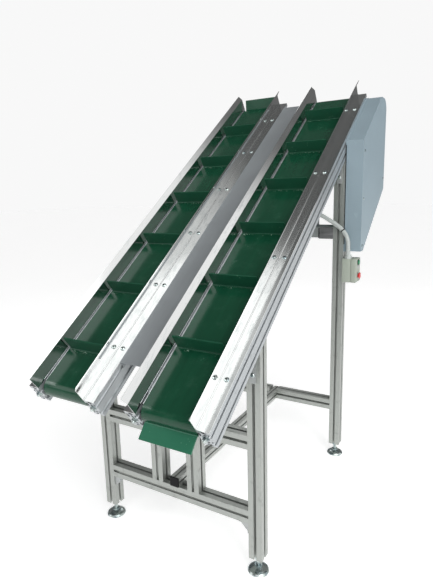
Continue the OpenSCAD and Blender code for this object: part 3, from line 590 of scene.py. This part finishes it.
def weld_beads():
    """A low rope of fused vinyl on both sides of each cleat on top."""
    middle = (LANE_INNER + LANE_OUTER) / 2
    for side, sign in LANES:
        beads = []
        for k in range(CLEATS_ON_TOP):
            for face in (-1, 1):
                bead = rod(BEAD_RADIUS, CLEAT_WIDTH, 10, ACROSS)
                bpy.ops.object.transform_apply(location=True, rotation=True, scale=True)
                bpy.ops.object.mode_set(mode="EDIT")
                bpy.ops.mesh.select_all(action="SELECT")
                bpy.ops.mesh.subdivide(number_cuts=1)
                bpy.ops.object.mode_set(mode="OBJECT")
                bead.data.transform(LANE_TURN)
                s = FIRST_CLEAT[side] + k * CLEAT_PITCH + face * BEAD_OUT
                bead.data.transform(Matrix.Translation(lane_point(sign * middle, s, BEAD_UP)))
                beads.append(bead)
        settle(join(beads), f"weld_beads_{side}", "cleat", "frame", smooth=60)


# ---------- conduit ----------

CONDUIT_RADIUS = 8 * MM
RIDGE_PITCH, RIDGE_DEPTH = 4.2 * MM, 0.9 * MM
RINGS_PER_RIDGE = 6
STEPS_PER_STRETCH = 24
CONDUIT_ROUTE = [
    (76.2, 1038, 952), (86, 1038, 952), (126, 1022, 958), (150, 994, 962), (177, 967, 962),
    (204, 956, 954), (232, 956, 938), (258, 956, 922), (280, 956, 904), (295, 956, 884),
    (303, 956, 860), (304, 956, 835), (304, 958, 819), (304, 961, 807), (304, 961, 796),
]


def smooth_route(points, spacing):
    """Points at an even spacing along the smooth curve through the route's points."""
    route = [machine_point(*point) for point in points]
    fine = []
    for i in range(len(route) - 1):
        before, start = route[max(i - 1, 0)], route[i]
        end, after = route[i + 1], route[min(i + 2, len(route) - 1)]
        for step in range(STEPS_PER_STRETCH):
            t = step / STEPS_PER_STRETCH
            fine.append(0.5 * (2 * start + (end - before) * t
                               + (2 * before - 5 * start + 4 * end - after) * t * t
                               + (3 * start - before - 3 * end + after) * t ** 3))
    fine.append(route[-1])
    lengths = [0.0]
    for a, b in zip(fine, fine[1:]):
        lengths.append(lengths[-1] + (b - a).length)
    count = int(lengths[-1] / spacing)
    even, j = [], 0
    for k in range(count + 1):
        goal = lengths[-1] * k / count
        while j < len(fine) - 2 and lengths[j + 1] < goal:
            j += 1
        share = (goal - lengths[j]) / max(lengths[j + 1] - lengths[j], 1e-9)
        even.append(fine[j].lerp(fine[j + 1], share))
    return even


def tube_mesh(name, centres, radii, sides):
    """A closed tube round a line of centres, carried along without twist."""
    vertices, faces = [], []
    reference = Vector((0.3, 0.2, 1)).normalized()
    for i, centre in enumerate(centres):
        tangent = (centres[min(i + 1, len(centres) - 1)] - centres[max(i - 1, 0)]).normalized()
        across = (reference - tangent * reference.dot(tangent)).normalized()
        reference = across
        other = tangent.cross(across)
        for k in range(sides):
            angle = 2 * math.pi * k / sides
            vertices.append(centre + radii[i] * (math.cos(angle) * across + math.sin(angle) * other))
    for i in range(len(centres) - 1):
        for k in range(sides):
            a, b = i * sides + k, i * sides + (k + 1) % sides
            faces.append((a, b, b + sides, a + sides))
    faces.append(tuple(reversed(range(sides))))
    last = (len(centres) - 1) * sides
    faces.append(tuple(range(last, last + sides)))
    mesh = bpy.data.meshes.new(name)
    mesh.from_pydata([tuple(v) for v in vertices], [], faces)
    piece = bpy.data.objects.new(name, mesh)
    bpy.context.collection.objects.link(piece)
    return piece


def conduit():
    """Corrugated conduit from the terminal box round the leg to the button box."""
    centres = smooth_route(CONDUIT_ROUTE, RIDGE_PITCH / RINGS_PER_RIDGE)
    radii = [CONDUIT_RADIUS - RIDGE_DEPTH * (0.5 - 0.5 * math.cos(2 * math.pi * i / RINGS_PER_RIDGE))
             for i in range(len(centres))]
    piece = tube_mesh("conduit_corrugated", centres, radii, 20)
    settle(piece, "conduit_corrugated", "conduit", "frame", smooth=70)
    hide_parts("conduit")
    return centres


# ---------- drive chain ----------

SPROCKET_CENTRES = [Vector((308, 1046, 905)) * MM, Vector((308, 1227.555, 1358.736)) * MM]
PITCH_RADIUS = 24.6 * MM
LINK_PITCH = 12.7 * MM
ROLLER_OUTLINE = [(2.6 * MM, -4 * MM), (3.2 * MM, -2.6 * MM), (3.2 * MM, 2.6 * MM), (2.6 * MM, 4 * MM)]
PLATE_THICK, PLATE_HEIGHT, PLATE_OVERHANG = 1.2 * MM, 6.4 * MM, 5 * MM
OUTER_PLATE, INNER_PLATE = 3.0 * MM, 1.9 * MM          # from the chain's middle plane


def drive_chain():
    """Roller chain: two plates and a roller for each link, round both sprockets."""
    start, end = SPROCKET_CENTRES
    run = (end - start).length
    towards = (end - start).normalized()
    out = Vector((0, -towards.z, towards.y))
    turn_length = math.pi * PITCH_RADIUS
    total = 2 * run + 2 * turn_length
    count = 2 * round(total / LINK_PITCH / 2)

    def place(q):
        """The point a distance q round the chain's loop."""
        q = q % total
        if q < run:
            return start + out * PITCH_RADIUS + towards * q
        q -= run
        if q < turn_length:
            angle = q / PITCH_RADIUS
            return end + PITCH_RADIUS * (math.cos(angle) * out + math.sin(angle) * towards)
        q -= turn_length
        if q < run:
            return end - out * PITCH_RADIUS - towards * q
        angle = (q - run) / PITCH_RADIUS
        return start - PITCH_RADIUS * (math.cos(angle) * out + math.sin(angle) * towards)

    plate = block((PLATE_THICK, LINK_PITCH + PLATE_OVERHANG, PLATE_HEIGHT), 0.5 * MM)
    roller = turned_piece(ROLLER_OUTLINE, 10)
    roller.data.transform(FACE_X)
    links = []
    for i in range(count):
        a, b = place(total * i / count), place(total * (i + 1) / count)
        step = (b - a).normalized()
        turn = Matrix.Rotation(math.atan2(step.z, step.y), 4, "X")
        reach = OUTER_PLATE if i % 2 else INNER_PLATE
        for face in (-1, 1):
            made = copy_piece(plate)
            made.data.transform(turn)
            made.data.transform(Matrix.Translation((a + b) / 2 + Vector((face * reach, 0, 0)) - ORIGIN))
            links.append(made)
        made = copy_piece(roller)
        made.data.transform(Matrix.Translation(a - ORIGIN))
        links.append(made)
    bpy.data.objects.remove(plate)
    bpy.data.objects.remove(roller)
    piece = join(links)
    settle(piece, "roller_chain", "chain", "frame")
    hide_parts("drive_chain")


# ---------- button box ----------

BOX_LOW = Vector((284, 950, 711)) * MM
BOX_SIZE = Vector((52, 58, 88)) * MM
BOX_SPLIT = 32 * MM
START_HEIGHT, STOP_HEIGHT, LABEL_HEIGHT = 73 * MM, 24 * MM, 57 * MM
BORE_RADIUS = 8 * MM
SCREW_INSET = 6 * MM
BEZEL_OUTLINE = [(9.2 * MM, 0), (11.6 * MM, 0.1 * MM), (11.6 * MM, 0.8 * MM), (10.6 * MM, 1.3 * MM),
                 (8.6 * MM, 1.3 * MM), (8.3 * MM, 0.6 * MM)]
SCREW_OUTLINE = [(3 * MM, -0.4 * MM), (3 * MM, 0.5 * MM), (2.4 * MM, 0.9 * MM), (1.0 * MM, 0.9 * MM),
                 (0.9 * MM, 0.2 * MM)]


def on_box(across, up, out=0.0):
    """A point on the box's front face, across and up from its lower corner."""
    return BOX_LOW + Vector((BOX_SIZE.x + out, across, up)) - ORIGIN


def box_shells():
    """The box's base and cover with soft edges, parted by a groove, with two bores for the buttons."""
    middle = BOX_LOW + BOX_SIZE / 2 - ORIGIN
    base = block((BOX_SPLIT, BOX_SIZE.y, BOX_SIZE.z), 2.2 * MM)
    settle(base, "box_base_soft", "box", "frame", None,
           (BOX_LOW.x + BOX_SPLIT / 2 - ORIGIN.x, middle.y, middle.z))
    depth = BOX_SIZE.x - BOX_SPLIT
    cover = block((depth, BOX_SIZE.y, BOX_SIZE.z), 2.6 * MM)
    for up in (START_HEIGHT, STOP_HEIGHT):
        bore = rod(BORE_RADIUS, 2 * depth, 48, ACROSS)
        bore.location.z = up - BOX_SIZE.z / 2
        modify(cover, "BOOLEAN", operation="DIFFERENCE", solver="EXACT", object=bore)
        bpy.data.objects.remove(bore)
    settle(cover, "box_cover_soft", "box", "frame", None,
           (BOX_LOW.x + BOX_SPLIT + depth / 2 - ORIGIN.x, middle.y, middle.z))
    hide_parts("box_base")
    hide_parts("box_cover")


def box_front():
    """Bezels round the buttons, a blank label plate and the cover's screws."""
    middle = BOX_SIZE.y / 2
    for name, finish, slot, up in (("start_bezel", "black", "black_plastic", START_HEIGHT),
                                   ("stop_bezel", "zinc", "zinc_steel", STOP_HEIGHT)):
        settle(turned_piece(BEZEL_OUTLINE, 32), name, finish, "frame", FACE_X, on_box(middle, up))
    plate = block((0.8 * MM, 26 * MM, 12 * MM), 0.35 * MM)
    settle(plate, "label_plate", "label", "frame", None,
           on_box(middle, LABEL_HEIGHT, 0.3 * MM))
    screws = []
    for across in (SCREW_INSET, BOX_SIZE.y - SCREW_INSET):
        for up in (SCREW_INSET, BOX_SIZE.z - SCREW_INSET):
            head = turned_piece(SCREW_OUTLINE, 16)
            head.data.transform(FACE_X)
            head.data.transform(Matrix.Translation(on_box(across, up)))
            screws.append(head)
    settle(join(screws), "box_screws", "zinc", "frame")


def glands():
    """A hexagon nut and a dome where the conduit enters the button box and the motor's terminal box."""
    nut = turned_piece([(13.5 * MM, 0), (13.5 * MM, 6.5 * MM), (12.4 * MM, 7.4 * MM)], 6)
    dome = turned_piece([(11.6 * MM, 7 * MM), (11.6 * MM, 9.5 * MM), (10.4 * MM, 12.5 * MM),
                         (8.9 * MM, 13.8 * MM)])
    settle(join([nut, dome]), "box_gland", "conduit", "frame", None,
           machine_point(304, 961, 799))
    nut = turned_piece([(12.5 * MM, 0), (12.5 * MM, 5 * MM), (11.5 * MM, 6 * MM)], 6)
    dome = turned_piece([(10.8 * MM, 5.5 * MM), (10.8 * MM, 8 * MM), (9 * MM, 10 * MM)])
    settle(join([nut, dome]), "motor_gland", "black", "frame", FACE_X,
           machine_point(76, 1038, 952))


def cable_tie(centres):
    """Black tie round the conduit, beside the leg's corner."""
    goal = machine_point(283, 956, 901)
    i = min(range(len(centres)), key=lambda k: (centres[k] - goal).length)
    tangent = (centres[i + 3] - centres[i - 3]).normalized()
    deselect()
    bpy.ops.mesh.primitive_torus_add(major_radius=CONDUIT_RADIUS + 0.5 * MM, minor_radius=0.8 * MM,
                                     major_segments=32, minor_segments=8)
    band = bpy.context.object
    band.scale = (1, 1, 2.6)
    bpy.ops.object.transform_apply(location=True, rotation=True, scale=True)
    head = block((5 * MM, 4 * MM, 5 * MM), 0.8 * MM, (CONDUIT_RADIUS + 2.2 * MM, 0, 0))
    tail = block((9 * MM, 1.2 * MM, 3.6 * MM), 0.4 * MM, (CONDUIT_RADIUS + 6 * MM, 1.4 * MM, 0))
    piece = join([band, head, tail])
    turn = tangent.to_track_quat("Z", "Y").to_matrix().to_4x4()
    settle(piece, "cable_tie", "black", "frame", turn, centres[i])


# ---------- camera, floor and light ----------

CAMERA_AT = machine_point(787.415, -800.63, 1050.809)
CAMERA_TURN, CAMERA_DROP, CAMERA_ROLL = (math.radians(a) for a in (30.742, 11.283, -1.501))
LENS, SENSOR = 30.27, 36.0
LIT_SIDE = (0.75, -0.45, 0.10)                 # the room is bright this way and dark behind
DIM, BRIGHT = 0.17, 1.15
PLAIN_WHITE = (0.94, 0.94, 0.94, 1)


def camera():
    forward = Vector((-math.sin(CAMERA_TURN) * math.cos(CAMERA_DROP),
                      math.cos(CAMERA_TURN) * math.cos(CAMERA_DROP), -math.sin(CAMERA_DROP)))
    right = Vector((math.cos(CAMERA_TURN), math.sin(CAMERA_TURN), 0))
    up = right.cross(forward)
    rolled_right = right * math.cos(CAMERA_ROLL) + up * math.sin(CAMERA_ROLL)
    rolled_up = up * math.cos(CAMERA_ROLL) - right * math.sin(CAMERA_ROLL)
    data = bpy.data.cameras.new("camera")
    data.sensor_fit = "VERTICAL"
    data.sensor_height = SENSOR
    data.lens = LENS
    made = bpy.data.objects.new("camera", data)
    bpy.context.collection.objects.link(made)
    made.matrix_world = Matrix((
        (rolled_right.x, rolled_up.x, -forward.x, CAMERA_AT.x),
        (rolled_right.y, rolled_up.y, -forward.y, CAMERA_AT.y),
        (rolled_right.z, rolled_up.z, -forward.z, CAMERA_AT.z),
        (0, 0, 0, 1)))
    bpy.context.scene.camera = made


def soft_light(name, at, size, power, towards=(0, 0, 0.7)):
    """A rectangular lamp that faces a point."""
    data = bpy.data.lights.new(name, "AREA")
    data.shape = "RECTANGLE"
    data.size, data.size_y = size
    data.energy = power
    made = bpy.data.objects.new(name, data)
    made.location = at
    made.rotation_euler = (Vector(towards) - Vector(at)).to_track_quat("-Z", "Y").to_euler()
    bpy.context.collection.objects.link(made)


def studio_world():
    """A room lit from the front and the right, and dark behind; plain white where the camera looks."""
    world = bpy.data.worlds.new("studio")
    bpy.context.scene.world = world
    world.use_nodes = True
    nodes, links = world.node_tree.nodes, world.node_tree.links
    place = nodes.new("ShaderNodeTexCoord")
    facing = nodes.new("ShaderNodeVectorMath")
    facing.operation = "DOT_PRODUCT"
    facing.inputs[1].default_value = LIT_SIDE
    ramp = nodes.new("ShaderNodeMapRange")
    ramp.interpolation_type = "SMOOTHSTEP"
    ramp.inputs["From Min"].default_value = 0.24
    ramp.inputs["From Max"].default_value = 0.40
    ramp.inputs["To Min"].default_value = DIM
    ramp.inputs["To Max"].default_value = BRIGHT
    rays = nodes.new("ShaderNodeLightPath")
    pale = nodes.new("ShaderNodeMix")
    pale.data_type = "RGBA"
    links.new(place.outputs["Generated"], facing.inputs[0])
    links.new(facing.outputs["Value"], ramp.inputs["Value"])
    links.new(rays.outputs["Is Camera Ray"], pale.inputs["Factor"])
    links.new(ramp.outputs[0], pale.inputs[COLOUR_LOW])
    pale.inputs[COLOUR_HIGH].default_value = PLAIN_WHITE
    background = nodes["Background"]
    links.new(pale.outputs[COLOUR_RESULT], background.inputs["Color"])
    background.inputs["Strength"].default_value = 1.0


def studio():
    """A wide pale floor with a slight glow, the room and four lamps."""
    deselect()
    bpy.ops.mesh.primitive_plane_add(size=60, location=(0, 0, 0))
    floor = bpy.context.object
    floor.name = "floor"
    net = Net("floor_paint")
    cloud = net.noise(2.0, 2.0)
    tone = net.mix(cloud, (0.86, 0.86, 0.86, 1), (0.89, 0.89, 0.89, 1))
    floor.data.materials.append(net.finish(Base_Color=tone, Roughness=0.8, Emission_Color=tone,
                                           Emission_Strength=0.60))
    studio_world()
    soft_light("key", (2.3, -1.9, 2.3), (1.2, 1.2), 30)
    soft_light("fill", (-2.4, -2.2, 1.6), (1.4, 1.4), 10)
    soft_light("top", (1.55, -1.05, 3.2), (2.4, 2.2), 17, (0.2, 0, 0.6))
    soft_light("back", (-1.4, 2.6, 2.4), (1.2, 1.0), 8)
    bpy.context.scene.view_settings.view_transform = "Standard"


camera()
studio()
belt_strips()
guide_folds()
weld_beads()
cable_tie(conduit())
drive_chain()
screw_socket_shade()
arm_strip()
guard_gap_shade()
box_shells()
box_front()
glands()
